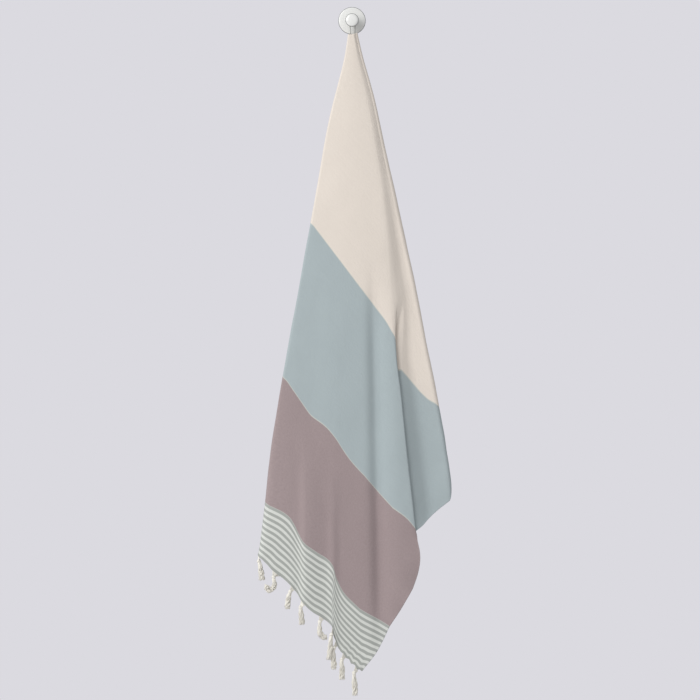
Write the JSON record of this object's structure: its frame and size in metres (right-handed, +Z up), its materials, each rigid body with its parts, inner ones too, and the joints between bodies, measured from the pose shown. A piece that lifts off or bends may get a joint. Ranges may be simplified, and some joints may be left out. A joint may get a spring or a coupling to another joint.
{
  "type": "hammam towel on a round wall hook",
  "caption": "Flat woven cotton bath towel hung by a small loop from a round wall hook, falling in long soft folds, striped at both ends with knotted tassels",
  "frame": {"origin": "centre of the hook's flat back face, where it sits on the wall", "axes": "+Z up, +Y into the wall, -Y toward the viewer, +X to the viewer's right"},
  "size_m": [0.3753, 0.0828, 1.3319],
  "materials": {
    "towel_cotton": "matt flat weave",
    "fringe_ecru": "twisted cotton yarn",
    "loop_white": "woven cotton tape",
    "hook_white": "smooth gloss"
  },
  "bodies": {
    "root": {"towel_cloth": "towel_cotton", "fringe_front": "fringe_ecru", "fringe_back": "fringe_ecru", "hanging_loop": "loop_white", "hook_knob": "hook_white", "hook_rosette": "hook_white"}
  },
  "joints": []
}
